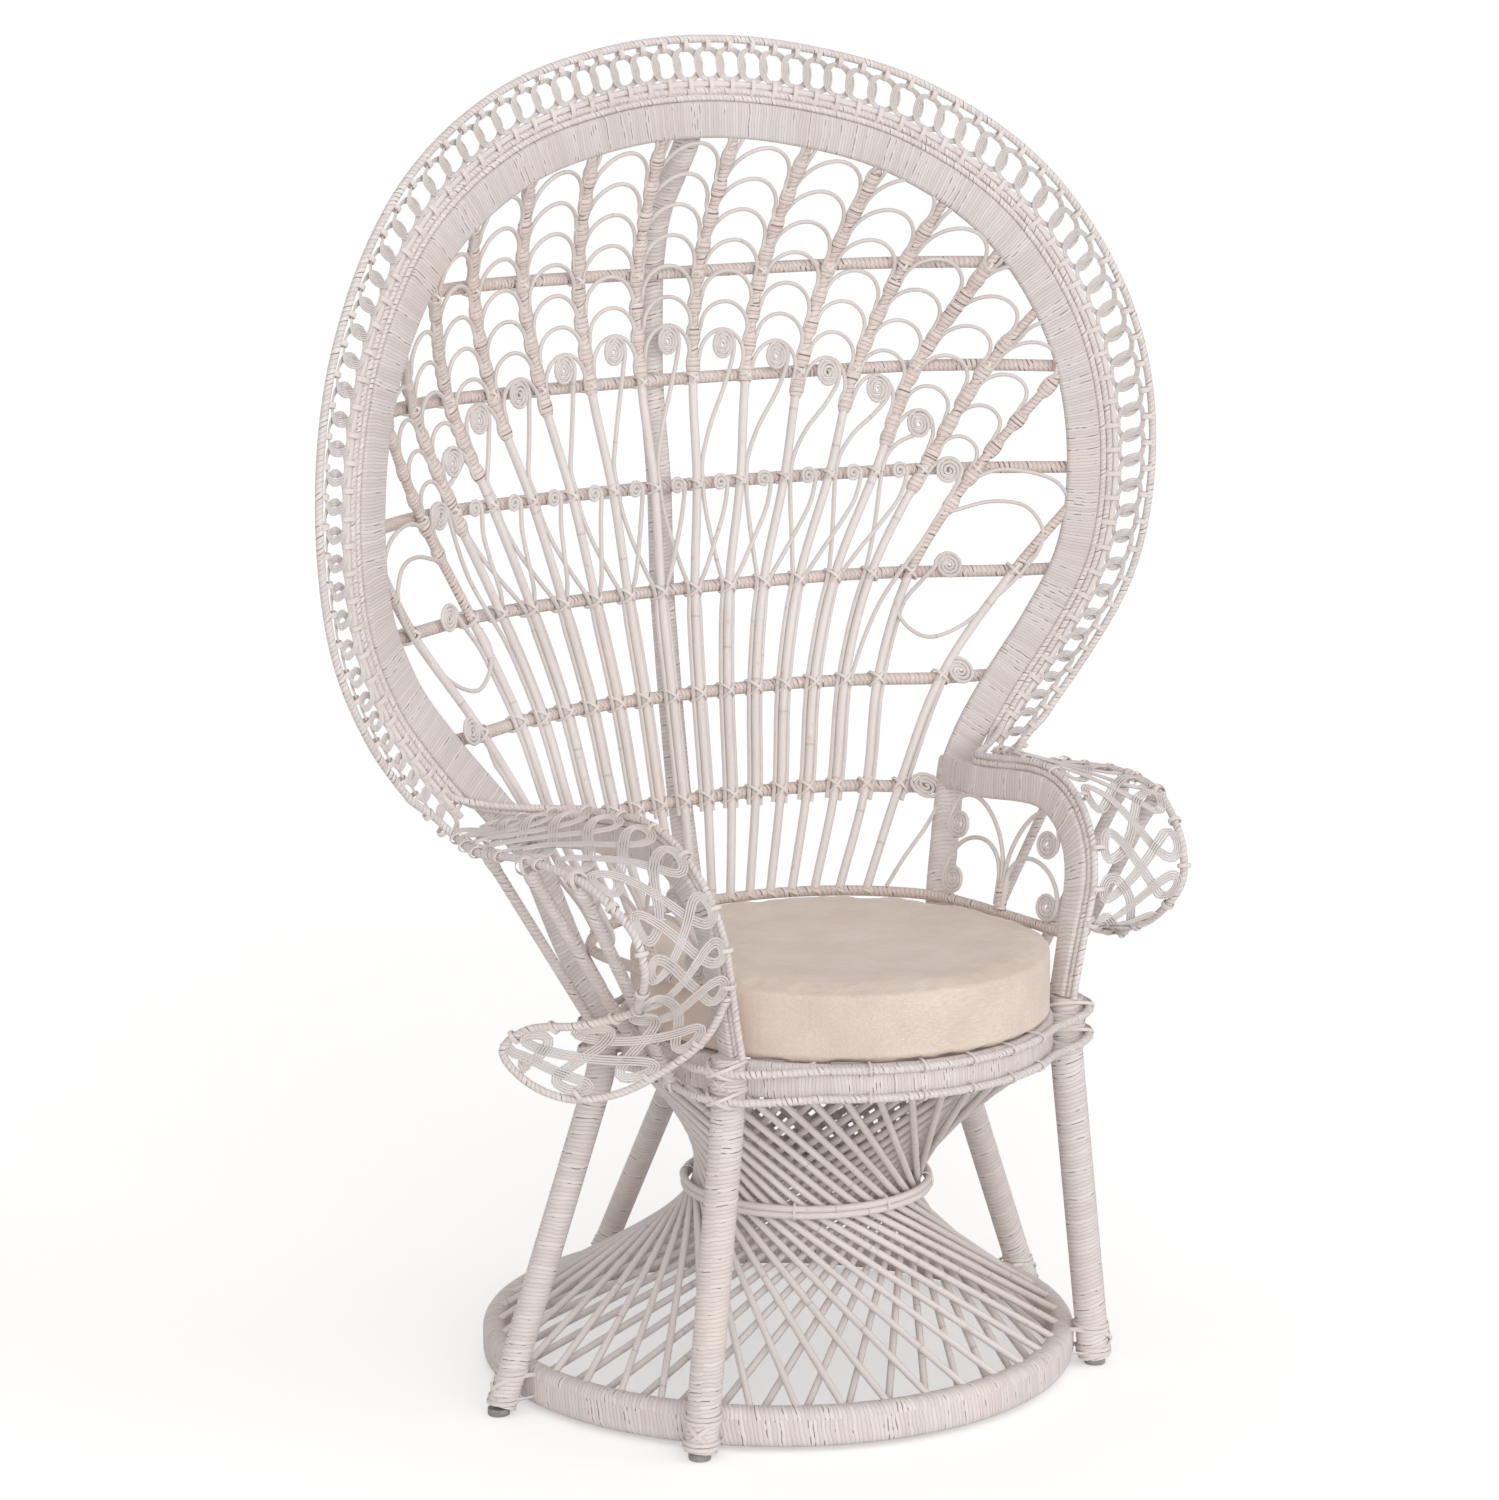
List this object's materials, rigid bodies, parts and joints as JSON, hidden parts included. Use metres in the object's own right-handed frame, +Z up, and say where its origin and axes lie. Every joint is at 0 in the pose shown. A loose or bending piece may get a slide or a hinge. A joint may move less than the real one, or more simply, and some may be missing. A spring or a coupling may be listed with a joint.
{
  "type": "peacock chair",
  "caption": "Tall round-backed cane armchair with an hourglass base, flared open fretwork arms and a loose round cushion.",
  "frame": {"origin": "on the floor, under the middle of the chair's overall box", "axes": "+X to the sitter's left, -Y the way the sitter faces, +Z up; X is across the wide back"},
  "size_m": [1.109, 0.7366, 1.4521],
  "materials": {
    "wound_cane": "white-washed cane wrapping, satin",
    "peeled_cane": "white-washed peeled cane, satin",
    "reed_cane": "white-washed split reed, matt",
    "cotton": "beige plain-woven cotton",
    "grey_plastic": "grey moulded glide"
  },
  "bodies": {
    "root": {"base_ring": "wound_cane", "seat_band": "wound_cane", "waist_cane_lower": "peeled_cane", "waist_cane_upper": "peeled_cane", "seat_rim_lower": "wound_cane", "seat_rim_upper": "wound_cane", "seat_slats": "peeled_cane", "cushion": "cotton", "front_leg_left": "wound_cane", "front_leg_left_glide": "grey_plastic", "rear_leg_left": "wound_cane", "rear_leg_left_glide": "grey_plastic", "front_leg_right": "wound_cane", "front_leg_right_glide": "grey_plastic", "rear_leg_right": "wound_cane", "rear_leg_right_glide": "grey_plastic", "back_post": "wound_cane", "back_post_glide": "grey_plastic", "back_hoop": "wound_cane", "seat_hoop": "wound_cane", "cross_bar_1": "wound_cane", "cross_bar_2": "wound_cane", "cross_bar_3": "wound_cane", "cross_bar_4": "wound_cane", "cross_bar_5": "wound_cane", "cross_bar_6": "wound_cane", "rib_1": "peeled_cane", "rib_2": "peeled_cane", "rib_3": "peeled_cane", "rib_4": "peeled_cane", "rib_5": "peeled_cane", "rib_6": "peeled_cane", "rib_7": "peeled_cane", "rib_8": "peeled_cane", "rib_9": "peeled_cane", "rib_10": "peeled_cane", "rib_11": "peeled_cane", "rib_12": "peeled_cane", "rib_13": "peeled_cane", "rib_14": "peeled_cane", "rib_15": "peeled_cane", "rib_16": "peeled_cane", "arm_band_left": "wound_cane", "arm_panel_left": "reed_cane", "arm_band_right": "wound_cane", "arm_panel_right": "reed_cane", "edging_cane_inner": "peeled_cane", "edging_cane_outer": "peeled_cane", "border_rail": "peeled_cane", "border_chain_front": "reed_cane", "border_chain_back": "reed_cane", "outer_rim": "wound_cane", "arm_flare_left": "reed_cane", "arm_strut_left_1": "peeled_cane", "arm_strut_left_2": "peeled_cane", "arm_strut_left_3": "peeled_cane", "arm_flare_right": "reed_cane", "arm_strut_right_1": "peeled_cane", "arm_strut_right_2": "peeled_cane", "arm_strut_right_3": "peeled_cane"}
  },
  "joints": []
}
